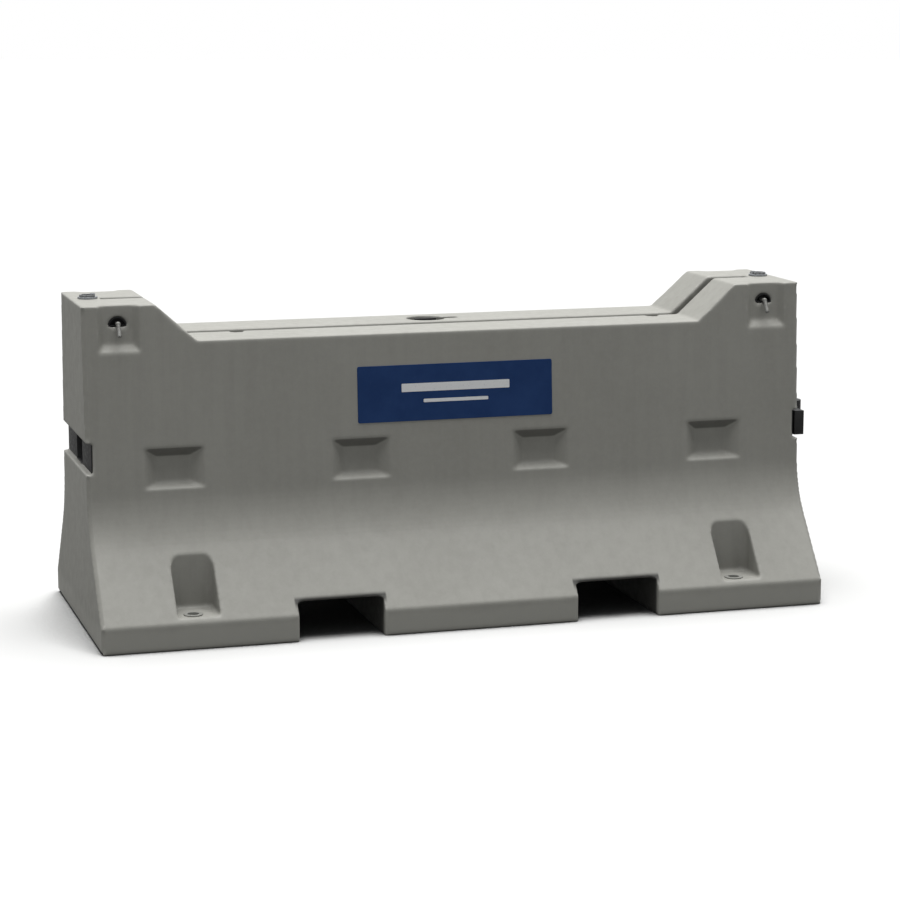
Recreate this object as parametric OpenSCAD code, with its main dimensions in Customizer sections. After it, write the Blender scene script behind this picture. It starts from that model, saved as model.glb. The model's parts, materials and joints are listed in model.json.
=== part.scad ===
// Water filled road barrier: a hollow moulded tank with a stepped profile, a fence slot along
// its top, and a drop-pin coupling at each end. The origin is on the ground, under the middle
// of the tank. X runs along the barrier, the front faces -Y, and Z is up.

/* [Tank] */
// Length of the moulded tank
body_len = 1985; // [1900:5:1990]
// Joint-to-joint distance when barriers stand in a row
pitch = 2000; // [2000:5:2010]
// Width across the base
base_w = 766; // [740:2:790]
// Height of the vertical band at the foot
toe_h = 70; // [60:1:80]
// Width across the knee, where the slope meets the wall
knee_w = 418; // [406:2:430]
// Height of the knee
knee_z = 298; // [280:1:310]
// Radius that blends the slope into the wall
knee_r = 256; // [150:2:260]
// Width across the top of the ears
top_w = 352; // [346:2:364]
// Height of the ears
ear_z = 866; // [850:1:890]
// Height of the low top between the ears
low_z = 769; // [755:1:780]
// Distance from the middle to the inner end of an ear's flat top
ear_in = 803; // [790:1:810]
// Distance from the middle to the foot of an ear's bevel
bevel_in = 695; // [680:1:705]
// Thickness of the moulded skin
skin = 8; // [6:0.5:9]

/* [Pockets] */
// Width of a fork pocket
fork_w = 229; // [200:1:240]
// Height of a fork pocket
fork_h = 100; // [80:1:105]
// Centres of the two fork pockets
fork_xs = [-363, 399];
// Width of a side recess
recess_w = 160; // [140:1:170]
// Height of a side recess
recess_h = 106; // [90:1:110]
// Depth of a side recess
recess_d = 26; // [12:1:30]
// Height of the middle of the side recesses
recess_z = 441; // [435:1:445]
// Centre of the first side recess
recess_x0 = -763; // [-770:1:-750]
// Spacing of the side recesses
recess_pitch = 500; // [490:1:505]
// Distance from the middle to an ear recess and its lock
lock_x = 897; // [890:1:900]
// Width of an ear recess
ear_recess_w = 110; // [100:1:114]
// Height of an ear recess's floor line
ear_recess_z = 765; // [755:1:772]
// Depth of the ear recesses
ear_recess_d = 20; // [12:1:24]

/* [Anchors] */
// Distance from the middle to an anchor hole
anchor_x = 748; // [740:1:755]
// Width of an anchor scoop
scoop_w = 109; // [100:1:116]
// How far a scoop sits to the side of its anchor hole
scoop_shift = 10; // [0:1:14]
// Radius of a scoop's upright corners
scoop_r = 22; // [16:1:36]
// Height of a scoop's floor
scoop_z = 82; // [78:1:90]
// Distance from the centre plane to the back of a scoop
scoop_back = 264; // [260:1:272]
// Distance from the centre plane to an anchor hole
anchor_y = 338; // [333:1:341]
// Radius of an anchor hole
anchor_r = 15; // [12:0.5:16]

/* [Fence slot] */
// Width of the fence slot
slot_w = 42; // [36:1:44]
// Height of the slot's floor
slot_z = 709; // [700:1:715]
// Distance from the middle to the slot's end
slot_end = 914; // [911:1:916]
// Centres of the two fence post sockets
socket_xs = [-558, 620];
// Distance from the centre plane to the middle of a post socket
socket_y = 30; // [28:1:32]
// Radius of a post socket's bore
socket_r = 13; // [12:0.5:15]
// Height of a post socket's floor
socket_z = 560; // [540:5:600]

/* [Coupling] */
// Distance from the middle to a coupling pin
pin_x = 948; // [946:1:950]
// Radius of a coupling pin
pin_r = 10; // [9:0.5:11]
// Lower edge of the end pocket
pocket_z0 = 434; // [430:1:436]
// Upper edge of the end pocket
pocket_z1 = 513; // [511:1:516]
// Depth of the notch across the end of the tank, with its liner in place
notch_d = 14; // [13:1:15]

/* [Fill and drain] */
// Radius of the filling opening
fill_r = 28; // [24:1:30]
// Distance from the centre plane to the filling opening
fill_y = 100; // [96:1:106]
// Radius of the drain opening
drain_r = 15; // [12:1:16]
// Height of the drain opening
drain_z = 36; // [35:1:37]

/* [Label] */
// Width of the name panel
label_w = 541; // [500:1:560]
// Height of the name panel
label_h = 150; // [120:1:160]
// Height of the middle of the name panel
label_z = 608; // [600:1:615]

/* [Hidden] */
$fn = 64;

// Clearances and shared sizes
fit = 0.05;
over = 1;
half_len = body_len / 2;
half_base = base_w / 2;
half_knee = knee_w / 2;
half_top = top_w / 2;
slope_angle = atan((half_base - half_knee) / (knee_z - toe_h));
batter = atan((half_knee - half_top) / (ear_z - knee_z));
knee_steps = 10;
arc_steps = 8;

// Drafts of the recesses, as the run of each sloping face across the recess's depth
recess_low_draft = 15;
recess_high_draft = 23;
recess_side_draft = 36;
ear_low_draft = 20;
ear_side_draft = 16;
cut_out = 10;
cut_spare = 40;

// Coupling
liner_t = 3;
pocket_half_w = 46;
pocket_end = half_len - 96;
pin_tip_z = 395;
pin_head_r = 26;
pin_head_t = 5;
pin_gap = 0.2;
sleeve_r = 16;
cup_z = 388;
ring_wire_r = 2.5;
ring_flat = 4.6;
ring_half_w = 17;
ring_bar_x = -14;
ring_arc_x = 2;
ring_z = ear_z + pin_gap + pin_head_t + 0.5 + ring_wire_r;
link_z0 = pocket_z0 + liner_t + 2;
link_h = pocket_z1 - pocket_z0 - 2 * liner_t - 4;
link_r = 34;
bar_w = 28;
bar_half_l = 188;
bush_r = 14;

// Panel lock
lock_z = 817;
key_r = 4.5;
handle_r = 5.5;
handle_l = 34;
handle_lean = 34;
elbow_r = 6.5;
housing_r = 23.5;
mouth_z = lock_z - key_r - 1.5;
housing_d = 26;
housing_wall = 3;
tube_r = 9;
trim = 60;
hub_y = 1 - slot_w / 2;
hub_t = 12;
cam_t = 8;
cam_r = 10;
cam_h = 12;
cam_len = 40;
cam_pin_r = 1.5;
cam_pin_y = hub_y + hub_t / 2;
cam_fit = 0.02;

// Name panel
label_t = 1.5;
glue_t = 0.1;

// Fill and drain
well_r = 52;
well_d = 25;
well_z = low_z - well_d;
well_arm_x = 92;
well_arm_half = 16;
neck_r = 35;
neck_flange_r = 42;
neck_flange_t = 3;
neck_depth = 38;
cap_seal_t = 3;
cap_r = 39;
cap_t = 10;
cap_stem = 28;
cap_wall = 4;
grip_h = 8;
tether_x = 74;
tether_t = 2.5;
tether_w = 10;
tether_eye_r = 11;
screw_r = 3;
screw_deep = 2;
drain_recess_r = 29;
drain_recess_d = 14;
bush_out_r = 22;
bush_l = 34;
drain_seal_t = 2.5;
drain_head_t = 8;
drain_hex_r = 22;

// Post and anchor liners
liner_floor = 4;
socket_out_r = 16.5;
anchor_out_r = 19;
anchor_flange_r = 25;
anchor_flange_t = 3;

// Half-width of the wall's outer face at height z
function wall_y(z) = half_knee - (z - knee_z) * tan(batter);

// Half-width of the slope's outer face at height z
function slope_y(z) = half_base - (z - toe_h) * tan(slope_angle);

// Outline of one side of the cross-section, set in from the outer face by inset
function side_points(inset) =
    let (
        mid = (slope_angle + batter) / 2,
        reach = knee_r / cos((slope_angle - batter) / 2),
        cy = half_knee + reach * cos(mid),
        cz = knee_z + reach * sin(mid),
        toe_z = toe_h + inset * (sin(slope_angle) - 1) / cos(slope_angle),
        top_y = wall_y(ear_z - inset) - inset / cos(batter)
    )
    concat(
        [[half_base - inset, inset], [half_base - inset, toe_z]],
        [for (i = [0:knee_steps])
            let (a = slope_angle + (batter - slope_angle) * i / knee_steps)
            [cy - (knee_r + inset) * cos(a), cz - (knee_r + inset) * sin(a)]],
        [[top_y, ear_z - inset]]
    );

function mirrored(points) = [for (i = [len(points) - 1:-1:0]) [-points[i][0], points[i][1]]];

module along_x(length) {
    rotate([90, 0, 90]) linear_extrude(length, center = true) children();
}

module along_y(length) {
    rotate([90, 0, 0]) linear_extrude(length, center = true) children();
}

module both_sides() {
    children();
    mirror([0, 1, 0]) children();
}

module both_ends() {
    children();
    mirror([1, 0, 0]) children();
}

// Places children on the front wall at height z, with their -Y facing out
module on_wall(x, z) {
    translate([x, -wall_y(z), z]) rotate([-batter, 0, 0]) children();
}

// Whole outer form, set in on every face by inset
module envelope(inset) {
    side = side_points(inset);
    rise = ear_z - low_z;
    run = ear_in - bevel_in;
    shift = inset * (sqrt(rise * rise + run * run) - run) / rise;
    end_x = half_len - inset;
    half_outline = [
        [end_x, inset - over], [end_x, ear_z + over - inset],
        [ear_in + shift + over * run / rise, ear_z + over - inset],
        [bevel_in + shift, low_z - inset]
    ];
    intersection() {
        along_x(2 * end_x) polygon(concat(side, mirrored(side)));
        along_y(base_w + 2 * over) polygon(concat(half_outline, mirrored(half_outline)));
    }
}

// Channel for a lifting fork, right through the foot
module fork_channels(grow) {
    for (x = fork_xs)
        translate([x - fork_w / 2 - grow, -half_base - over, -over])
            cube([fork_w + 2 * grow, base_w + 2 * over, fork_h + grow + over]);
}

// Drafted recess: a wedge in side view crossed with a wedge in plan
module wall_recess(width, depth, low, high, low_draft, high_draft, side_draft, grow) {
    d = depth + grow;
    w = width / 2 + grow;
    flare = cut_out / depth;
    intersection() {
        along_x(width + 2 * (grow + side_draft)) polygon([
            [-cut_out, low - grow - low_draft * flare], [0, low - grow],
            [d, low + low_draft - grow], [d, high - high_draft + grow],
            [0, high + grow], [-cut_out, high + grow + high_draft * flare]
        ]);
        translate([0, 0, low - cut_spare]) linear_extrude(high - low + 2 * cut_spare) polygon([
            [-w - side_draft * flare, -cut_out], [-w, 0], [side_draft - w, d],
            [w - side_draft, d], [w, 0], [w + side_draft * flare, -cut_out]
        ]);
    }
}

module side_recesses(grow) {
    for (i = [0:3])
        on_wall(recess_x0 + i * recess_pitch, recess_z)
            wall_recess(recess_w, recess_d, -recess_h / 2, recess_h / 2,
                recess_low_draft, recess_high_draft, recess_side_draft, grow);
}

// Recess in the outer face of an ear, open at the top
module ear_recess(grow) {
    low = ear_recess_z - lock_z - ear_low_draft;
    on_wall(lock_x, lock_z)
        wall_recess(ear_recess_w, ear_recess_d, low, ear_z - lock_z + cut_out,
            ear_low_draft, 0, ear_side_draft, grow);
}

// Upright scoops with rounded back corners, cut into the slopes over the anchor holes
module scoops(grow) {
    w = scoop_w / 2 + grow;
    r = scoop_r + grow;
    back = scoop_back - grow;
    corner = [for (i = [0:arc_steps])
        let (a = 90 * i / arc_steps)
        [w - r + r * cos(a), -back - r + r * sin(a)]];
    right_half = concat([[w, -half_base - 2 * over]], corner);
    for (turn = [0, 180], side = [-1, 1])
        rotate(turn) translate([side * anchor_x + scoop_shift, 0, scoop_z - grow])
            linear_extrude(knee_z - scoop_z)
                polygon(concat(right_half, mirrored(right_half)));
}

module anchor_hole(r, z0, z1) {
    translate([anchor_x, -anchor_y, z0]) cylinder(z1 - z0, r = r);
}

// Slot for a fence panel, with a round channel beside it over each post socket
module fence_slot(grow) {
    half = slot_end + grow;
    translate([-half, -slot_w / 2 - grow, slot_z - grow])
        cube([2 * half, slot_w + 2 * grow, ear_z - slot_z + 2 * grow + over]);
    for (x = socket_xs)
        translate([x, -socket_y, socket_z - grow])
            cylinder(ear_z - socket_z, r = socket_out_r + grow);
}

// Pocket and notch in the end of the tank that take the coupling link
module end_pocket(grow) {
    z0 = pocket_z0 - grow;
    h = pocket_z1 - pocket_z0 + 2 * grow;
    notch = notch_d + liner_t + grow;
    out_half = pocket_half_w + liner_t + grow;
    translate([pocket_end - liner_t - grow, -out_half, z0])
        cube([half_len - pocket_end + liner_t + grow + over, 2 * out_half, h]);
    translate([half_len - notch, -half_base, z0]) cube([notch + over, base_w, h]);
}

// Block that keeps only what lies above height z round a lock
module above(z, y) {
    translate([lock_x - trim / 2, y, z]) cube(trim);
}

module lock_hole(grow) {
    y0 = -wall_y(lock_z) + ear_recess_d - skin;
    intersection() {
        translate([lock_x, y0, mouth_z]) rotate([-90, 0, 0])
            cylinder(housing_d + skin / 2, r = housing_r + grow);
        above(mouth_z - grow, y0 - over);
    }
    translate([lock_x, -slot_w / 2 - 2 * skin, lock_z]) rotate([-90, 0, 0])
        cylinder(2 * skin + over, r = tube_r + grow);
}

module fill_hole(r, z0, z1) {
    translate([0, fill_y, z0]) cylinder(z1 - z0, r = r);
}

// Sunk well round the filling opening, with an arm for the tether's screw
module fill_well(grow) {
    fill_hole(well_r + grow, well_z - grow, low_z + over);
    translate([0, fill_y - well_arm_half - grow, well_z - grow])
        cube([well_arm_x + grow, 2 * (well_arm_half + grow), well_d + grow + over]);
}

module drain_hole(r, y0, y1) {
    translate([0, y0, drain_z]) rotate([-90, 0, 0]) cylinder(y1 - y0, r = r);
}

// Hollow moulded tank
module barrier_shell() {
    recess_y = half_base - drain_recess_d;
    color([0.47, 0.47, 0.44]) difference() {
        envelope(0);
        difference() {
            envelope(skin);
            fork_channels(skin);
            both_sides() {
                side_recesses(skin);
                both_ends() {
                    ear_recess(skin);
                    anchor_hole(anchor_out_r + skin, 0, scoop_z);
                }
            }
            scoops(skin);
            fence_slot(skin);
            both_ends() end_pocket(skin);
            fill_well(skin);
            drain_hole(drain_recess_r + skin, recess_y - skin, half_base);
        }
        fork_channels(0);
        both_sides() {
            side_recesses(0);
            both_ends() {
                ear_recess(0);
                anchor_hole(anchor_out_r + fit, -over, scoop_z + over);
            }
        }
        scoops(0);
        fence_slot(0);
        both_ends() {
            end_pocket(0);
            lock_hole(fit);
            translate([pin_x, 0, cup_z]) cylinder(pocket_z0 - cup_z + over, r = sleeve_r + fit);
            translate([pin_x, 0, pocket_z1 - over]) cylinder(ear_z, r = sleeve_r + fit);
        }
        fill_well(0);
        fill_hole(neck_r + fit, well_z - neck_depth, well_z + over);
        translate([tether_x, fill_y, well_z - screw_deep]) cylinder(screw_deep + over, r = screw_r + fit);
        drain_hole(bush_out_r + fit, recess_y - 2 * skin, half_base);
        drain_hole(drain_recess_r, recess_y, half_base + over);
    }
}

// Thin panel on the front wall where an owner's name goes
module name_panel() {
    color([0.08, 0.13, 0.26]) on_wall(0, label_z)
        translate([-label_w / 2, -glue_t - label_t, -label_h / 2]) cube([label_w, label_t, label_h]);
}

// Threaded ring set in the top, simplified to its plain bore
module fill_neck() {
    color([0.15, 0.15, 0.15]) difference() {
        union() {
            fill_hole(neck_r, well_z - neck_depth, well_z + over);
            fill_hole(neck_flange_r, well_z, well_z + neck_flange_t);
        }
        fill_hole(fill_r, well_z - neck_depth - over, well_z + neck_flange_t + over);
    }
}

module fill_cap_seal() {
    z = well_z + neck_flange_t;
    color([0.05, 0.05, 0.05]) difference() {
        fill_hole(cap_r - 3, z, z + cap_seal_t);
        fill_hole(fill_r + 1, z - over, z + cap_seal_t + over);
    }
}

// Screw cap with finger hollows round its rim and a raised grip bar
module fill_cap() {
    z = well_z + neck_flange_t + cap_seal_t;
    hollows = 8;
    hollow_r = 9;
    grip_half_l = 30;
    grip_w = 10;
    color([0.12, 0.12, 0.12]) difference() {
        union() {
            fill_hole(cap_r, z, z + cap_t);
            fill_hole(fill_r - fit, z - cap_stem, z + over);
            translate([-grip_half_l, fill_y - grip_w / 2, z + cap_t - over])
                cube([2 * grip_half_l, grip_w, grip_h + over]);
        }
        for (i = [0:hollows - 1])
            translate([0, fill_y, 0]) rotate(360 * (i + 0.5) / hollows)
                translate([cap_r + hollow_r / 2, 0, z + cap_wall]) cylinder(cap_t, r = hollow_r);
        fill_hole(fill_r - cap_wall, z - cap_stem - over, z - cap_wall / 2);
    }
}

// Strap that keeps the cap with the barrier when it is off
module cap_tether() {
    inner_r = neck_flange_r + 0.3;
    outer_r = neck_flange_r + 7;
    color([0.07, 0.07, 0.07]) translate([0, fill_y, well_z]) difference() {
        union() {
            cylinder(tether_t, r = outer_r);
            translate([tether_x, 0, 0]) cylinder(tether_t, r = tether_eye_r);
            translate([inner_r + over, -tether_w / 2, 0])
                cube([tether_x - inner_r - over, tether_w, tether_t]);
        }
        translate([0, 0, -over]) cylinder(tether_t + 2 * over, r = inner_r);
        translate([tether_x, 0, -over]) cylinder(tether_t + 2 * over, r = screw_r + 0.2);
    }
}

module tether_screw() {
    head_h = 3.2;
    head_r = 6.5;
    drive_w = 1.6;
    drive_d = 1.4;
    color([0.7, 0.7, 0.7]) translate([tether_x, fill_y, well_z + tether_t]) difference() {
        union() {
            cylinder(head_h, r = head_r);
            translate([0, 0, -tether_t - screw_deep]) cylinder(tether_t + screw_deep + over, r = screw_r);
        }
        translate([-head_r - over, -drive_w / 2, head_h - drive_d])
            cube([2 * (head_r + over), drive_w, drive_d + over]);
    }
}

module drain_bush() {
    y = half_base - drain_recess_d;
    color([0.15, 0.15, 0.15]) difference() {
        drain_hole(bush_out_r, y - bush_l, y);
        drain_hole(drain_r, y - bush_l - over, y + over);
    }
}

module drain_seal() {
    y = half_base - drain_recess_d;
    color([0.05, 0.05, 0.05]) difference() {
        drain_hole(bush_out_r - 1, y, y + drain_seal_t);
        drain_hole(drain_r + 0.5, y - over, y + drain_seal_t + over);
    }
}

module drain_plug() {
    y = half_base - drain_recess_d + drain_seal_t;
    stem = 30;
    wall = 4;
    key_w = 12;
    color([0.12, 0.12, 0.12]) difference() {
        union() {
            drain_hole(drain_r - fit, y - stem, y + over);
            translate([0, y, drain_z]) rotate([-90, 0, 0])
                cylinder(drain_head_t, r = drain_hex_r, $fn = 6);
        }
        drain_hole(drain_r - wall - over, y - stem - over, y - wall);
        translate([-key_w / 2, y + drain_head_t / 3, drain_z - key_w / 2]) cube(key_w);
    }
}

// Black lining of an end pocket and of the notch across the end
module pocket_liner() {
    z0 = pocket_z0;
    h = pocket_z1 - pocket_z0;
    face_x = half_len - notch_d;
    out_half = pocket_half_w + liner_t;
    plate_half = wall_y(pocket_z1) - liner_t;
    color([0.06, 0.06, 0.06]) difference() {
        union() {
            translate([pocket_end - liner_t, -out_half, z0])
                cube([face_x - pocket_end + liner_t, 2 * out_half, h]);
            translate([face_x - liner_t, -plate_half, z0]) cube([liner_t, 2 * plate_half, h]);
        }
        translate([pocket_end, -pocket_half_w, z0 + liner_t])
            cube([half_len, 2 * pocket_half_w, h - 2 * liner_t]);
        translate([pin_x, 0, z0 - over]) cylinder(h + 2 * over, r = pin_r + 1);
    }
}

// Tube that guides a coupling pin from the ear's top to the end pocket
module pin_sleeve() {
    z0 = pocket_z1;
    color([0.55, 0.56, 0.57]) translate([pin_x, 0, 0]) difference() {
        translate([0, 0, z0]) cylinder(ear_z - z0, r = sleeve_r);
        translate([0, 0, z0 - over]) cylinder(ear_z - z0 + 2 * over, r = pin_r + fit);
    }
}

// Closed cup under the end pocket that holds a coupling pin's tip
module pin_cup() {
    color([0.55, 0.56, 0.57]) translate([pin_x, 0, 0]) difference() {
        translate([0, 0, cup_z]) cylinder(pocket_z0 - cup_z, r = sleeve_r);
        translate([0, 0, cup_z + liner_floor]) cylinder(pocket_z0 - cup_z, r = pin_r + fit);
    }
}

// Drop pin with a round head and a lug for its lifting ring
module coupling_pin() {
    head_z = ear_z + pin_gap;
    tip_h = 8;
    tip_r = 6;
    lug_l = 10;
    lug_w = 14;
    lug_h = 8.5;
    color([0.6, 0.61, 0.62]) translate([pin_x, 0, 0]) difference() {
        union() {
            translate([0, 0, pin_tip_z]) cylinder(tip_h, r1 = tip_r, r2 = pin_r);
            translate([0, 0, pin_tip_z + tip_h])
                cylinder(head_z - pin_tip_z - tip_h + over, r = pin_r);
            translate([0, 0, head_z]) cylinder(pin_head_t, r = pin_head_r);
            translate([ring_bar_x - lug_l / 2, -lug_w / 2, head_z + pin_head_t - over])
                cube([lug_l, lug_w, lug_h + over]);
        }
        translate([ring_bar_x, -lug_w, ring_z]) rotate([-90, 0, 0])
            cylinder(2 * lug_w, r = ring_wire_r + fit);
    }
}

// Ring that lies on the pin's head and folds up to lift the pin
module lift_ring() {
    inner = ring_half_w - ring_wire_r;
    outer = ring_half_w + ring_wire_r;
    back_x = ring_bar_x - 1.5;
    outer_arc = [for (i = [0:2 * arc_steps])
        let (a = -90 + 90 * i / arc_steps) [ring_arc_x + outer * cos(a), outer * sin(a)]];
    inner_arc = [for (i = [0:2 * arc_steps])
        let (a = 90 - 90 * i / arc_steps) [ring_arc_x + inner * cos(a), inner * sin(a)]];
    color([0.66, 0.67, 0.68]) translate([pin_x, 0, ring_z]) union() {
        translate([0, 0, -ring_flat / 2]) linear_extrude(ring_flat) polygon(concat(
            [[back_x, -outer]], outer_arc,
            [[back_x, outer], [back_x, inner]], inner_arc,
            [[back_x, -inner]]
        ));
        translate([ring_bar_x, -outer + 0.3, 0]) rotate([-90, 0, 0])
            cylinder(2 * outer - 0.6, r = ring_wire_r);
    }
}

// Black link with a tongue for each of the two end pockets and a bar that fills the notches
module coupling_link() {
    far_x = pitch - pin_x;
    mid_x = pitch / 2;
    bar_inset = 1;
    color([0.05, 0.05, 0.05]) difference() {
        union() {
            for (x = [pin_x, far_x])
                translate([x, 0, link_z0]) cylinder(link_h, r = link_r);
            translate([pin_x, -link_r + 0.5, link_z0]) cube([far_x - pin_x, 2 * link_r - 1, link_h]);
            translate([mid_x - bar_w / 2, -bar_half_l, link_z0 + bar_inset])
                cube([bar_w, 2 * bar_half_l, link_h - 2 * bar_inset]);
        }
        for (x = [pin_x, far_x])
            translate([x, 0, link_z0 - over]) cylinder(link_h + 2 * over, r = bush_r + fit);
    }
}

module link_bushes() {
    color([0.62, 0.6, 0.5]) for (x = [pin_x, pitch - pin_x])
        translate([x, 0, 0]) difference() {
            translate([0, 0, link_z0]) cylinder(link_h, r = bush_r);
            translate([0, 0, link_z0 - over]) cylinder(link_h + 2 * over, r = pin_r + fit);
        }
}

// Half-round black mouth and bearing tube of a panel lock
module lock_housing() {
    face_y = -wall_y(lock_z) + ear_recess_d + 1;
    tube_y = face_y + housing_d;
    color([0.04, 0.04, 0.04]) difference() {
        union() {
            intersection() {
                translate([lock_x, face_y, mouth_z]) rotate([-90, 0, 0])
                    cylinder(housing_d, r = housing_r);
                above(mouth_z, face_y - over);
            }
            translate([lock_x, tube_y - over, lock_z]) rotate([-90, 0, 0])
                cylinder(-slot_w / 2 - tube_y + over, r = tube_r);
        }
        intersection() {
            translate([lock_x, face_y - over, mouth_z]) rotate([-90, 0, 0])
                cylinder(housing_d - liner_floor, r = housing_r - housing_wall);
            above(mouth_z + housing_wall, face_y - 2 * over);
        }
        translate([lock_x, face_y - over, lock_z]) rotate([-90, 0, 0])
            cylinder(half_top, r = key_r + fit);
    }
}

// Bent rod: its shaft turns in the housing and its handle hangs in the ear recess
module lock_key() {
    elbow_y = -wall_y(lock_z) + ear_recess_d - elbow_r - 2;
    tail_y = hub_y + hub_t + 2;
    color([0.68, 0.69, 0.7]) translate([lock_x, 0, lock_z]) difference() {
        union() {
            translate([0, elbow_y, 0]) rotate([-90, 0, 0]) cylinder(tail_y - elbow_y, r = key_r);
            translate([0, elbow_y, 0]) sphere(elbow_r);
            translate([0, elbow_y, 0]) rotate([180 - handle_lean, 0, 0]) {
                cylinder(handle_l, r = handle_r);
                translate([0, 0, handle_l]) sphere(handle_r);
            }
        }
        cam_pin_hole();
    }
}

module cam_pin_hole() {
    translate([0, cam_pin_y, -cam_r - over]) cylinder(2 * (cam_r + over), r = cam_pin_r + fit);
}

// Tongue inside the fence slot that holds the panel down
module lock_cam() {
    color([0.5, 0.51, 0.52]) translate([lock_x, 0, lock_z]) difference() {
        union() {
            translate([0, hub_y, 0]) rotate([-90, 0, 0]) cylinder(hub_t, r = cam_r);
            translate([-cam_len, hub_y + (hub_t - cam_t) / 2, -cam_h / 2]) cube([cam_len, cam_t, cam_h]);
        }
        translate([0, hub_y - over, 0]) rotate([-90, 0, 0])
            cylinder(hub_t + 2 * over, r = key_r + cam_fit);
        cam_pin_hole();
    }
}

module cam_pin() {
    color([0.75, 0.75, 0.75]) translate([lock_x, cam_pin_y, lock_z - cam_r - 0.5])
        cylinder(2 * cam_r + 1, r = cam_pin_r);
}

// Steel tubes in the post sockets under the slot
module post_sockets() {
    color([0.2, 0.2, 0.2]) for (x = socket_xs)
        translate([x, -socket_y, 0]) difference() {
            translate([0, 0, socket_z]) cylinder(slot_z - socket_z, r = socket_out_r - fit);
            translate([0, 0, socket_z + liner_floor]) cylinder(slot_z - socket_z, r = socket_r);
        }
}

// Flanged tubes through the foot for ground anchors
module anchor_sleeves() {
    color([0.4, 0.4, 0.39]) both_sides() both_ends() difference() {
        union() {
            anchor_hole(anchor_out_r, 0, scoop_z + over);
            anchor_hole(anchor_flange_r, scoop_z, scoop_z + anchor_flange_t);
        }
        anchor_hole(anchor_r, -over, scoop_z + anchor_flange_t + over);
    }
}

module left() {
    mirror([1, 0, 0]) children();
}

barrier_shell();
name_panel();
fill_neck();
fill_cap_seal();
fill_cap();
cap_tether();
tether_screw();
drain_bush();
drain_seal();
drain_plug();
left() pocket_liner();  // pocket_liner_left
pocket_liner();  // pocket_liner_right
left() pin_sleeve();  // pin_sleeve_left
pin_sleeve();  // pin_sleeve_right
left() pin_cup();  // pin_cup_left
pin_cup();  // pin_cup_right
left() coupling_pin();  // coupling_pin_left
coupling_pin();  // coupling_pin_right
left() lift_ring();  // lift_ring_left
lift_ring();  // lift_ring_right
coupling_link();
link_bushes();
left() lock_housing();  // lock_housing_left
lock_housing();  // lock_housing_right
left() lock_key();  // lock_key_left
lock_key();  // lock_key_right
left() lock_cam();  // lock_cam_left
lock_cam();  // lock_cam_right
left() cam_pin();  // cam_pin_left
cam_pin();  // cam_pin_right
post_sockets();
anchor_sleeves();
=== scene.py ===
"""Looks of the water filled barrier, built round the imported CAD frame. Units are metres, the front
faces -Y and Z is up. Each piece takes its size and place from the CAD node that it stands for."""

import json
import math

import bmesh
import bpy
import numpy as np
from mathutils import Matrix, Vector
from mathutils.bvhtree import BVHTree
from mathutils.kdtree import KDTree

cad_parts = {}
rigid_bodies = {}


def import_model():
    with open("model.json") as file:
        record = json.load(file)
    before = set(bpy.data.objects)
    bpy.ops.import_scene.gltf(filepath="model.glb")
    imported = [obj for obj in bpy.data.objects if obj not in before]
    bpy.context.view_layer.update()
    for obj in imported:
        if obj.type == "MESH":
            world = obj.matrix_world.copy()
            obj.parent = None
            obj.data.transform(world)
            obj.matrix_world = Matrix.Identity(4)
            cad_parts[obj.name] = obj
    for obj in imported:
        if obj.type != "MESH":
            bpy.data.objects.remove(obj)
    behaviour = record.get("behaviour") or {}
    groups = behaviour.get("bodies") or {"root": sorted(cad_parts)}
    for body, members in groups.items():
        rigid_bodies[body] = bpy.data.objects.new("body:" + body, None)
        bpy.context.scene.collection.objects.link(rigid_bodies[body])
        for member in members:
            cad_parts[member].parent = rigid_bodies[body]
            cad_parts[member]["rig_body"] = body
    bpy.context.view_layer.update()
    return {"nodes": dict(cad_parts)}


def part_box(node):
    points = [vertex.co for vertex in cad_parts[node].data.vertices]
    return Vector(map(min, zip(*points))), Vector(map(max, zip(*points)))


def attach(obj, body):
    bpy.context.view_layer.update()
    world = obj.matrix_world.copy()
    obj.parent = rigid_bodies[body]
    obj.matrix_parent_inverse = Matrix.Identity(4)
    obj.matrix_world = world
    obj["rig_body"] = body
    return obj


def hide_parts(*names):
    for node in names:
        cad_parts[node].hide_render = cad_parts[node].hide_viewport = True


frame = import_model()
MM = 0.001

# The grid that the tank's skin is rebuilt on, the share of its faces that is kept, and how many
# times all of it and then its softer edges are smoothed
SKIN_VOXEL = 4 * MM
SKIN_KEEP = 0.25
RELAX_ROUNDS = 6
BLEND_ROUNDS = 100

# How far from an edge of the tank its blend reaches
SHARP_EDGE = 3 * MM
CRISP_EDGE = 7 * MM
LINTEL_EDGE = 18 * MM
SOFT_EDGE = 30 * MM

# Height of the fork pockets' roof, whose front and rear edges are rounded more
LINTEL_Z = 100 * MM

# The end notches lie between these heights, and their edges stay crisp
NOTCH_Z = (428 * MM, 519 * MM)

# The two fork pockets lie this far either side of this place. Their painted shade, nearly black,
# reaches this far beside their middles and this high.
FORK_MIDDLE_X = 18 * MM
FORK_HALF_PITCH = 381 * MM
FORK_HALF_WIDTH = 120 * MM
FORK_TOP = 105 * MM

# Middle of the lock mouths, whose edges stay sharp, and how far they reach
LOCK_X = 897 * MM
LOCK_Z = 817 * MM
MOUTH_REACH = 26 * MM

# The fence slot's edges, which stay sharp, lie within this of the middle and above this height
SLOT_REACH = 45 * MM
SLOT_LOW = 600 * MM

# Half the width over the foot, and the least distance out at which a roof edge is a lintel's
FOOT_HALF = 383 * MM
LINTEL_Y = 300 * MM

# Wall batter of the tank, from the CAD's knee to the ear's top
WALL_BATTER = math.atan((209 - 176) / (866 - 298))

# Edges that turn by more than these are hard, are shaded sharp and are rounded off
HARD_ANGLE = math.radians(25)
SHADE_ANGLE = math.radians(35)
ROUND_ANGLE = math.radians(32)

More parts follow.
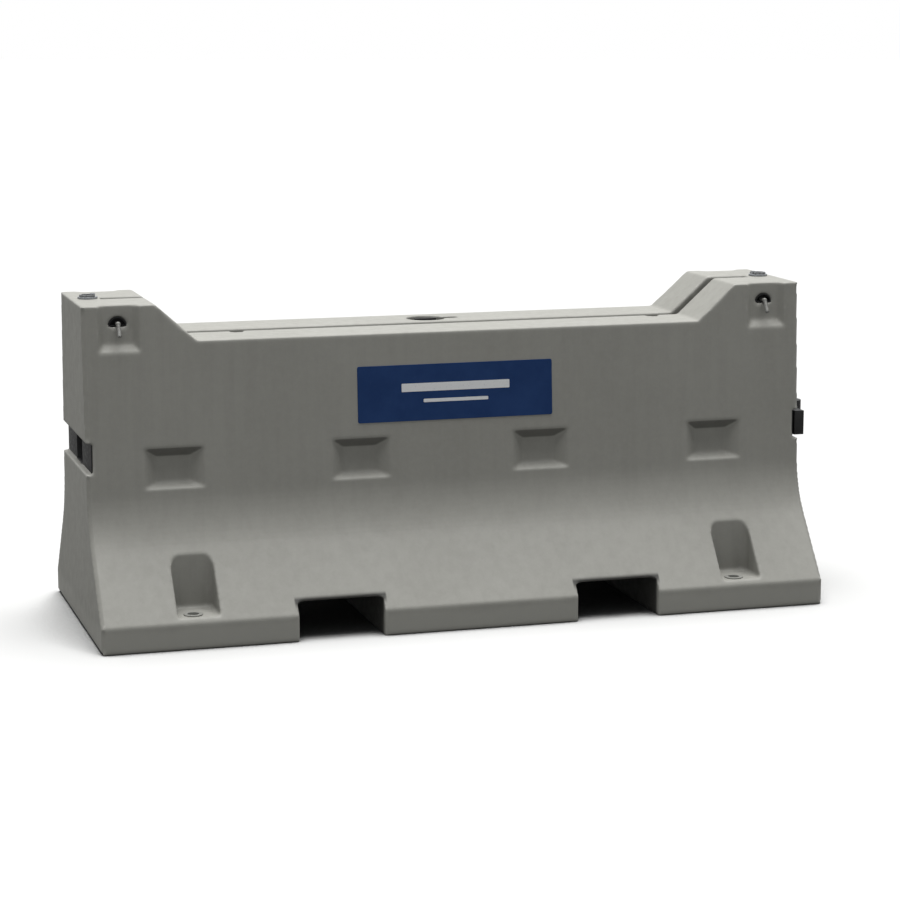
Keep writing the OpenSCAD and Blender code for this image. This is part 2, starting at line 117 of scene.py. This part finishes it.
# Name panel, and the plain bars on it
PANEL_CORNER = 5 * MM
PANEL_THICK = 1.5 * MM
BAR_THICK = 0.25 * MM
BAR_CORNER = 2 * MM
# Plain bars on the panel, centred on it: width, height, and place above the panel's middle
PANEL_BARS = [
    (300 * MM, 22 * MM, 14 * MM),
    (180 * MM, 9 * MM, -22 * MM),
]


# ---------------------------------------------------------------- materials


class Finish:
    """A material under construction: add() makes a node, and out() closes the surface."""

    def __init__(self, name):
        self.material = bpy.data.materials.new(name)
        self.material.use_nodes = True
        self.tree = self.material.node_tree
        self.tree.nodes.clear()
        self.place = self.add("ShaderNodeTexCoord").outputs["Object"]

    def add(self, kind, inputs=None, **settings):
        node = self.tree.nodes.new(kind)
        for key, value in settings.items():
            setattr(node, key, value)
        for key, value in (inputs or {}).items():
            self.set(node.inputs[key], value)
        return node

    def set(self, socket, value):
        if isinstance(value, bpy.types.NodeSocket):
            self.tree.links.new(value, socket)
        else:
            socket.default_value = value

    def noise(self, scale, detail=3.0, stretch=(1, 1, 1), rough=0.55):
        mapped = self.add("ShaderNodeMapping", {"Vector": self.place, "Scale": stretch})
        made = self.add(
            "ShaderNodeTexNoise",
            {"Vector": mapped.outputs[0], "Scale": scale, "Detail": detail, "Roughness": rough},
        )
        return made.outputs["Fac"]

    def ramp(self, value, low, high, to_low=0.0, to_high=1.0):
        made = self.add(
            "ShaderNodeMapRange",
            {"Value": value, "From Min": low, "From Max": high, "To Min": to_low, "To Max": to_high},
            interpolation_type="SMOOTHSTEP",
        )
        return made.outputs["Result"]

    def math(self, operation, a, b=0.0):
        made = self.add("ShaderNodeMath", {0: a, 1: b}, operation=operation)
        return made.outputs[0]

    def mix(self, factor, a, b, blend="MIX"):
        made = self.add("ShaderNodeMix", {"Factor": factor}, data_type="RGBA", blend_type=blend)
        colour_inputs = [s for s in made.inputs if s.type == "RGBA"]
        self.set(colour_inputs[0], a)
        self.set(colour_inputs[1], b)
        return [s for s in made.outputs if s.type == "RGBA"][0]

    def bump(self, height, distance, strength=1.0, below=None):
        made = self.add(
            "ShaderNodeBump", {"Height": height, "Distance": distance, "Strength": strength}
        )
        if below is not None:
            self.set(made.inputs["Normal"], below)
        return made.outputs["Normal"]

    def out(self, colour, rough, metal=0.0, normal=None, specular=0.5):
        surface = self.add(
            "ShaderNodeBsdfPrincipled",
            {
                "Base Color": colour,
                "Roughness": rough,
                "Metallic": metal,
                "Specular IOR Level": specular,
            },
        )
        if normal is not None:
            self.set(surface.inputs["Normal"], normal)
        self.add("ShaderNodeOutputMaterial", {"Surface": surface.outputs[0]})
        return self.material


def tank_plastic():
    """Concrete-grey polyethylene: mottled and faintly streaked down its walls, paler at the foot
    with dust and painted bounce light, and with painted shade in its corners, under its overhangs
    and inside the fork pockets."""
    f = Finish("tank_plastic")
    cloud = f.ramp(f.noise(2.6, 5.0), 0.3, 0.7)
    base = f.mix(cloud, (0.270, 0.267, 0.243, 1), (0.292, 0.289, 0.264, 1))
    streak = f.ramp(f.noise(1.0, 4.0, (34, 34, 1.6), 0.6), 0.35, 0.7, 0.0, 0.4)
    base = f.mix(streak, base, (0.244, 0.241, 0.219, 1))
    mottle = f.ramp(f.noise(55, 6.0, rough=0.7), 0.35, 0.68, 0.0, 0.22)
    base = f.mix(mottle, base, (0.330, 0.327, 0.300, 1))
    speck = f.ramp(f.noise(620, 2.0), 0.60, 0.72, 0.0, 0.25)
    base = f.mix(speck, base, (0.19, 0.188, 0.172, 1))
    split = f.add("ShaderNodeSeparateXYZ", {"Vector": f.place})
    # Paler towards the foot: light dust, and painted bounce light from the floor
    wavy_height = f.math("ADD", split.outputs["Z"], f.math("MULTIPLY", f.noise(9, 5.0), 0.05))
    foot_dust_and_bounce = f.ramp(wavy_height, 0.07, 0.10, 0.75, 0.0)
    base = f.mix(foot_dust_and_bounce, base, (0.340, 0.337, 0.308, 1))
    # Painted shade: darker in corners, creases and recesses, where the tank's own shape closes in
    shade = f.add("ShaderNodeAmbientOcclusion", {"Distance": 0.07}, samples=4, only_local=True)
    crevice_painted_shade = f.ramp(shade.outputs["AO"], 0.15, 0.75, 0.5, 0.0)
    base = f.mix(crevice_painted_shade, base, (0.075, 0.074, 0.068, 1))
    # Painted shade: nearly black inside the fork pockets
    across = f.math("ABSOLUTE", f.math("SUBTRACT", split.outputs["X"], FORK_MIDDLE_X))
    from_fork = f.math("ABSOLUTE", f.math("SUBTRACT", across, FORK_HALF_PITCH))
    depth = f.math("ABSOLUTE", split.outputs["Y"])
    beside = f.ramp(from_fork, FORK_HALF_WIDTH, FORK_HALF_WIDTH + 5 * MM, 1.0, 0.0)
    under = f.ramp(split.outputs["Z"], FORK_TOP, FORK_TOP + 10 * MM, 1.0, 0.0)
    within = f.ramp(depth, FOOT_HALF - 28 * MM, FOOT_HALF - 8 * MM, 1.0, 0.0)
    fork_painted_shade = f.math("MULTIPLY", f.math("MULTIPLY", beside, under), within)
    base = f.mix(f.math("MULTIPLY", fork_painted_shade, 0.9), base, (0.012, 0.012, 0.011, 1))
    geometry = f.add("ShaderNodeNewGeometry")
    facing = f.add("ShaderNodeSeparateXYZ", {"Vector": geometry.outputs["Normal"]}).outputs["Z"]
    # Painted shade: darker on faces that look down, under the overhangs
    base = f.mix(f.ramp(facing, -0.6, -0.2, 0.75, 0.0), base, (0.075, 0.074, 0.068, 1))
    point = geometry.outputs["Pointiness"]
    worn = f.math("MULTIPLY", f.ramp(point, 0.515, 0.56), f.ramp(f.noise(24, 5.0), 0.35, 0.6))
    base = f.mix(f.math("MULTIPLY", worn, 0.45), base, (0.47, 0.468, 0.44, 1))
    rough = f.ramp(f.noise(40, 4.0), 0.3, 0.7, 0.52, 0.66)
    soft = f.bump(f.noise(11, 3.0), 1.6 * MM, 0.35)
    grain = f.bump(f.noise(430, 3.0, rough=0.6), 0.35 * MM, 0.55, soft)
    return f.out(base, rough, normal=grain, specular=0.38)


def moulded_plastic(name, colour, lighter, rough=0.5, specular=0.5):
    """Injection moulded plastic or rubber with a fine spark-eroded grain."""
    f = Finish(name)
    cloud = f.ramp(f.noise(30, 5.0), 0.3, 0.7)
    base = f.mix(f.math("MULTIPLY", cloud, 0.6), colour, lighter)
    point = f.add("ShaderNodeNewGeometry").outputs["Pointiness"]
    base = f.mix(f.ramp(point, 0.53, 0.62, 0.0, 0.5), base, lighter)
    grain = f.bump(f.noise(900, 2.0), 0.15 * MM, 0.5)
    rough = f.ramp(f.noise(90, 3.0), 0.3, 0.7, rough - 0.08, rough + 0.1)
    return f.out(base, rough, normal=grain, specular=specular)


def plated_steel(name, colour, darker, rough, metal=0.9):
    """Zinc coated steel: cloudy patches, fine scratches and a little darkening."""
    f = Finish(name)
    patches = f.add("ShaderNodeTexVoronoi", {"Vector": f.place, "Scale": 260.0})
    tone = f.ramp(patches.outputs["Color"], 0.0, 1.0)
    base = f.mix(tone, colour, darker)
    dirt = f.ramp(f.noise(120, 5.0), 0.5, 0.72, 0.0, 0.6)
    base = f.mix(dirt, base, (darker[0] * 0.5, darker[1] * 0.47, darker[2] * 0.42, 1))
    scratch = f.noise(300, 3.0, (1, 1, 12))
    normal = f.bump(scratch, 0.08 * MM, 0.5)
    rough = f.ramp(f.noise(160, 3.0), 0.3, 0.7, rough - 0.1, rough + 0.12)
    return f.out(base, rough, metal, normal)


def printed_panel():
    """Satin navy sheet, a little faded in patches, with a fine film texture."""
    f = Finish("navy_panel")
    fade = f.ramp(f.noise(14, 5.0), 0.3, 0.75)
    base = f.mix(fade, (0.011, 0.036, 0.122, 1), (0.016, 0.046, 0.145, 1))
    dust = f.ramp(f.noise(190, 4.0), 0.55, 0.75, 0.0, 0.05)
    base = f.mix(dust, base, (0.09, 0.10, 0.13, 1))
    normal = f.bump(f.noise(500, 2.0), 0.08 * MM, 0.4)
    return f.out(base, f.ramp(f.noise(60, 3.0), 0.3, 0.7, 0.5, 0.62), normal=normal, specular=0.12)


def print_ink(name, colour, worn_colour):
    f = Finish(name)
    worn = f.ramp(f.noise(220, 5.0), 0.55, 0.72, 0.0, 0.35)
    base = f.mix(worn, colour, worn_colour)
    return f.out(base, 0.5, normal=f.bump(f.noise(700, 2.0), 0.05 * MM, 0.4))


def floor_paper():
    """Pale studio paper that throws less light up at the object than the camera sees, with a painted
    shadow where the barrier closes over it.
    """
    f = Finish("studio_floor")
    tone = f.ramp(f.noise(0.8, 3.0), 0.3, 0.7)
    seen = f.mix(tone, (0.56, 0.56, 0.555, 1), (0.58, 0.58, 0.575, 1))
    # Painted shadow: the floor goes nearly black under the barrier and inside the fork pockets
    open_to_sky = f.add("ShaderNodeAmbientOcclusion", {"Distance": 0.3}, samples=4).outputs["AO"]
    seen = f.mix(f.ramp(open_to_sky, 0.2, 0.42), (0.02, 0.02, 0.02, 1), seen)
    by_camera = f.add("ShaderNodeLightPath").outputs["Is Camera Ray"]
    base = f.mix(by_camera, (0.185, 0.185, 0.18, 1), seen)
    return f.out(base, 0.9, specular=0.1)


TANK = tank_plastic()
BLACK = moulded_plastic(
    "black_plastic", (0.009, 0.009, 0.010, 1), (0.026, 0.026, 0.026, 1), 0.5, 0.2
)
RUBBER = moulded_plastic(
    "black_rubber", (0.008, 0.008, 0.008, 1), (0.020, 0.020, 0.020, 1), 0.72, 0.15
)
INSERT = moulded_plastic("grey_insert", (0.21, 0.21, 0.195, 1), (0.27, 0.27, 0.25, 1), 0.6, 0.3)
STEEL = plated_steel("galvanised_steel", (0.30, 0.31, 0.32, 1), (0.19, 0.20, 0.21, 1), 0.55)
ZINC = plated_steel("zinc_steel", (0.26, 0.265, 0.27, 1), (0.15, 0.155, 0.16, 1), 0.55)
DULL = plated_steel("dull_zinc", (0.23, 0.23, 0.22, 1), (0.17, 0.17, 0.16, 1), 0.6, 0.35)
BRONZE = plated_steel("bronze", (0.46, 0.33, 0.17, 1), (0.32, 0.22, 0.11, 1), 0.38)
NAVY = printed_panel()
WHITE_INK = print_ink("white_ink", (0.74, 0.75, 0.76, 1), (0.45, 0.47, 0.52, 1))
FLOOR = floor_paper()


# ---------------------------------------------------------------- pieces


def new_piece(name, bm, material):
    mesh = bpy.data.meshes.new(name)
    bm.normal_update()
    bm.to_mesh(mesh)
    bm.free()
    piece = bpy.data.objects.new(name, mesh)
    bpy.context.scene.collection.objects.link(piece)
    mesh.materials.append(material)
    return piece


def smooth_by_angle(piece):
    piece.data.shade_smooth()
    piece.data.set_sharp_from_angle(angle=SHADE_ANGLE)


def apply_modifiers(piece):
    """Replaces a piece's mesh by the mesh that its modifiers make."""
    graph = bpy.context.evaluated_depsgraph_get()
    made = bpy.data.meshes.new_from_object(piece.evaluated_get(graph))
    piece.modifiers.clear()
    old = piece.data
    piece.data = made
    bpy.data.meshes.remove(old)


def welded(node):
    """The CAD node's mesh with shared corners joined."""
    bm = bmesh.new()
    bm.from_mesh(frame["nodes"][node].data)
    bmesh.ops.remove_doubles(bm, verts=bm.verts, dist=0.002 * MM)
    return bm


def body_of(node):
    return frame["nodes"][node]["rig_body"]


def stand_for(piece, node):
    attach(piece, body_of(node))
    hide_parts(node)
    return piece


def refined(node, material, edge, segments=3):
    """A node's own shape, its flat faces made whole again and its hard edges rounded by edge."""
    bm = welded(node)
    bmesh.ops.dissolve_limit(bm, angle_limit=math.radians(1), verts=bm.verts, edges=bm.edges)
    piece = new_piece(node + "_look", bm, material)
    round_off = piece.modifiers.new("round_off", "BEVEL")
    round_off.width = edge
    round_off.segments = segments
    round_off.limit_method = "ANGLE"
    round_off.angle_limit = ROUND_ANGLE
    apply_modifiers(piece)
    smooth_by_angle(piece)
    return stand_for(piece, node)


def sharp_edge_points(bm, spacing=3 * MM):
    """Points along the hard edges of a mesh, each with how widely that edge is blended."""
    low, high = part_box("barrier_shell")
    points = []
    for edge in bm.edges:
        if len(edge.link_faces) != 2 or edge.calc_face_angle() < HARD_ANGLE:
            continue
        a, b = edge.verts[0].co, edge.verts[1].co
        middle = (a + b) / 2
        at_left_end = max(a.x, b.x) - low.x < 1 * MM
        at_right_end = high.x - min(a.x, b.x) < 1 * MM
        at_outline = (at_left_end or at_right_end) and not NOTCH_Z[0] < middle.z < NOTCH_Z[1]
        at_roof = max(abs(a.z - LINTEL_Z), abs(b.z - LINTEL_Z)) < 1 * MM
        at_lintel = at_roof and abs(middle.y) > LINTEL_Y
        at_mouth = max(abs(abs(middle.x) - LOCK_X), abs(middle.z - LOCK_Z)) < MOUTH_REACH
        in_slot = abs(middle.y) < SLOT_REACH and middle.z > SLOT_LOW
        width = CRISP_EDGE
        if at_mouth or in_slot:
            width = SHARP_EDGE
        elif at_outline:
            width = SOFT_EDGE
        elif at_lintel:
            width = LINTEL_EDGE
        count = max(1, int(edge.calc_length() / spacing))
        for i in range(count + 1):
            points.append((a.lerp(b, i / count), width))
    return points


def edge_distances(mesh, points):
    """For each vertex, how far it is from the nearest hard edge, in units of that edge's blend."""
    tree = KDTree(len(points))
    for i, (at, _) in enumerate(points):
        tree.insert(at, i)
    tree.balance()
    share = np.empty(len(mesh.vertices))
    width = np.empty(len(mesh.vertices))
    for i, vertex in enumerate(mesh.vertices):
        _, nearest, distance = tree.find(vertex.co)
        width[i] = points[nearest][1]
        share[i] = distance / width[i]
    return share, width


def tank_skin():
    """The moulded tank, rebuilt on an even grid. Its edges are blended as a mould does, and its
    flats are pulled back onto the CAD faces."""
    bm = welded("barrier_shell")
    points = sharp_edge_points(bm)
    faces = BVHTree.FromBMesh(bm)
    skin = new_piece("tank_skin", bm, TANK)
    rebuild = skin.modifiers.new("rebuild", "REMESH")
    rebuild.mode = "VOXEL"
    rebuild.voxel_size = SKIN_VOXEL
    rebuild.use_smooth_shade = True
    apply_modifiers(skin)

    share, width = edge_distances(skin.data, points)
    near_soft = (width > CRISP_EDGE) & (share < 1.5)
    group = skin.vertex_groups.new(name="soft_edges")
    group.add([int(i) for i in np.nonzero(near_soft)[0]], 1.0, "REPLACE")
    relax = skin.modifiers.new("relax", "SMOOTH")
    relax.factor = 0.5
    relax.iterations = RELAX_ROUNDS
    blend = skin.modifiers.new("blend", "SMOOTH")
    blend.factor = 0.5
    blend.iterations = BLEND_ROUNDS
    blend.vertex_group = group.name
    apply_modifiers(skin)

    pull = np.clip((share - 1.0) / 0.6, 0, 1)
    pull = pull * pull * (3 - 2 * pull)
    for i in np.nonzero(pull > 0)[0]:
        vertex = skin.data.vertices[int(i)]
        nearest = faces.find_nearest(vertex.co, 3 * SKIN_VOXEL)[0]
        if nearest is not None:
            vertex.co = vertex.co.lerp(nearest, pull[i])

    thin_out = skin.modifiers.new("thin_out", "DECIMATE")
    thin_out.ratio = SKIN_KEEP
    apply_modifiers(skin)
    skin.data.shade_smooth()
    return stand_for(skin, "barrier_shell")


def rounded_plate(bm, width, height, corner, thick, centre=(0, 0)):
    """Adds a plate in the XZ plane whose back is at y = 0 and whose face is at y = -thick."""
    steps = 6
    outline = []
    for cx, cz, start in ((1, 1, 0), (-1, 1, 90), (-1, -1, 180), (1, -1, 270)):
        for i in range(steps + 1):
            a = math.radians(start + 90 * i / steps)
            x = centre[0] + cx * (width / 2 - corner) + corner * math.cos(a)
            z = centre[1] + cz * (height / 2 - corner) + corner * math.sin(a)
            outline.append((x, z))
    back = [bm.verts.new((x, 0, z)) for x, z in outline]
    rim = min(thick * 0.4, 0.5 * MM)
    shoulder = [bm.verts.new((x, rim - thick, z)) for x, z in outline]
    face = []
    for x, z in outline:
        inner_x = centre[0] + (x - centre[0]) * (1 - 2 * rim / width)
        inner_z = centre[1] + (z - centre[1]) * (1 - 2 * rim / height)
        face.append(bm.verts.new((inner_x, -thick, inner_z)))
    n = len(outline)
    for ring_a, ring_b in ((back, shoulder), (shoulder, face)):
        for i in range(n):
            j = (i + 1) % n
            bm.faces.new((ring_a[i], ring_a[j], ring_b[j], ring_b[i]))
    bm.faces.new(face)
    bm.faces.new(list(reversed(back)))
    bmesh.ops.recalc_face_normals(bm, faces=bm.faces)


def name_panel():
    """Navy panel glued to the wall, with two plain white bars in place of a name."""
    low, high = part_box("name_panel")
    width = high.x - low.x
    height = (high.z - low.z) / math.cos(WALL_BATTER) - PANEL_THICK * math.tan(WALL_BATTER)
    middle = Vector(((low.x + high.x) / 2, (low.y + high.y) / 2, (low.z + high.z) / 2))
    to_wall = Matrix.Translation(middle + Vector((0, PANEL_THICK / 2, 0)))
    to_wall = to_wall @ Matrix.Rotation(-WALL_BATTER, 4, "X")

    bm = bmesh.new()
    rounded_plate(bm, width, height, PANEL_CORNER, PANEL_THICK)
    panel = new_piece("name_panel_sheet", bm, NAVY)
    panel.data.transform(to_wall)
    smooth_by_angle(panel)
    stand_for(panel, "name_panel")

    bm = bmesh.new()
    for bar_width, bar_height, above in PANEL_BARS:
        rounded_plate(bm, bar_width, bar_height, BAR_CORNER, BAR_THICK, (0, above))
    bars = new_piece("panel_white_bars", bm, WHITE_INK)
    bars.data.transform(to_wall @ Matrix.Translation((0, -PANEL_THICK, 0)))
    smooth_by_angle(bars)
    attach(bars, body_of("name_panel"))


tank_skin()
name_panel()

ROUNDED = {
    # node: (material, radius of its rounded edges)
    "fill_neck": (BLACK, 0.8 * MM),
    "fill_cap_seal": (RUBBER, 0.6 * MM),
    "fill_cap": (BLACK, 1.2 * MM),
    "cap_tether": (RUBBER, 0.6 * MM),
    "tether_screw": (ZINC, 0.4 * MM),
    "drain_bush": (BLACK, 0.6 * MM),
    "drain_seal": (RUBBER, 0.5 * MM),
    "drain_plug": (BLACK, 0.8 * MM),
    "pocket_liner_left": (BLACK, 0.8 * MM),
    "pocket_liner_right": (BLACK, 0.8 * MM),
    "pin_sleeve_left": (STEEL, 0.5 * MM),
    "pin_sleeve_right": (STEEL, 0.5 * MM),
    "pin_cup_left": (STEEL, 0.5 * MM),
    "pin_cup_right": (STEEL, 0.5 * MM),
    "coupling_pin_left": (STEEL, 1.0 * MM),
    "coupling_pin_right": (STEEL, 1.0 * MM),
    "lift_ring_left": (ZINC, 0.9 * MM),
    "lift_ring_right": (ZINC, 0.9 * MM),
    "coupling_link": (BLACK, 3.0 * MM),
    "link_bushes": (BRONZE, 0.5 * MM),
    "lock_housing_left": (BLACK, 0.7 * MM),
    "lock_housing_right": (BLACK, 0.7 * MM),
    "lock_key_left": (DULL, 0.5 * MM),
    "lock_key_right": (DULL, 0.5 * MM),
    "lock_cam_left": (STEEL, 0.8 * MM),
    "lock_cam_right": (STEEL, 0.8 * MM),
    "cam_pin_left": (ZINC, 0.2 * MM),
    "cam_pin_right": (ZINC, 0.2 * MM),
    "post_sockets": (STEEL, 0.5 * MM),
    "anchor_sleeves": (INSERT, 0.8 * MM),
}
for node, (material, edge) in ROUNDED.items():
    refined(node, material, edge)


# ---------------------------------------------------------------- studio

CAMERA_AT = Vector((-1.987, -6.747, 1.669))
LOOK_AT = Vector((0.03, -0.038, 0.42))
LENS = 104.0


def area_light(name, at, aim, size, power, colour=(1, 1, 1)):
    lamp = bpy.data.lights.new(name, "AREA")
    lamp.shape = "RECTANGLE"
    lamp.size = size[0]
    lamp.size_y = size[1]
    lamp.energy = power
    lamp.color = colour
    holder = bpy.data.objects.new(name, lamp)
    bpy.context.scene.collection.objects.link(holder)
    holder.location = at
    holder.rotation_euler = (Vector(aim) - Vector(at)).to_track_quat("-Z", "Y").to_euler()


def seen_and_lit(tree, seen, lit):
    """A mix that gives the camera and reflections one shader, and diffuse light another."""
    path = tree.nodes.new("ShaderNodeLightPath")
    either = tree.nodes.new("ShaderNodeMath")
    either.operation = "MAXIMUM"
    tree.links.new(path.outputs["Is Camera Ray"], either.inputs[0])
    tree.links.new(path.outputs["Is Glossy Ray"], either.inputs[1])
    mix = tree.nodes.new("ShaderNodeMixShader")
    tree.links.new(either.outputs[0], mix.inputs["Fac"])
    tree.links.new(lit, mix.inputs[1])
    tree.links.new(seen, mix.inputs[2])
    return mix.outputs[0]


def studio():
    bm = bmesh.new()
    bmesh.ops.create_grid(bm, x_segments=8, y_segments=8, size=60)
    floor = new_piece("studio_floor", bm, FLOOR)

    soft_sky = bpy.data.lights.new("soft_sky", "SUN")
    soft_sky.energy = 5.1
    soft_sky.angle = math.radians(50)
    holder = bpy.data.objects.new("soft_sky", soft_sky)
    holder.rotation_euler = (math.radians(-4), math.radians(2), 0)
    bpy.context.scene.collection.objects.link(holder)
    area_light("front_fill", (-4.5, -7.0, 2.6), (0, 0, 0.4), (3.0, 2.0), 13, (1.0, 0.985, 0.96))

    world = bpy.data.worlds.new("studio")
    world.use_nodes = True
    tree = world.node_tree
    lit = tree.nodes["Background"]
    lit.inputs["Color"].default_value = (0.96, 0.98, 1.0, 1)
    lit.inputs["Strength"].default_value = 0.25
    seen = tree.nodes.new("ShaderNodeBackground")
    seen.inputs["Color"].default_value = (1, 1, 1, 1)
    seen.inputs["Strength"].default_value = 1.0
    shown = seen_and_lit(tree, seen.outputs[0], lit.outputs[0])
    tree.links.new(shown, tree.nodes["World Output"].inputs["Surface"])
    bpy.context.scene.world = world

    lens = bpy.data.cameras.new("photo_view")
    lens.lens = LENS
    lens.sensor_width = 36
    lens.clip_end = 60
    camera = bpy.data.objects.new("photo_view", lens)
    camera.location = CAMERA_AT
    camera.rotation_euler = (LOOK_AT - CAMERA_AT).to_track_quat("-Z", "Y").to_euler()
    bpy.context.scene.collection.objects.link(camera)
    bpy.context.scene.camera = camera
    bpy.context.scene.view_settings.view_transform = "Standard"


studio()
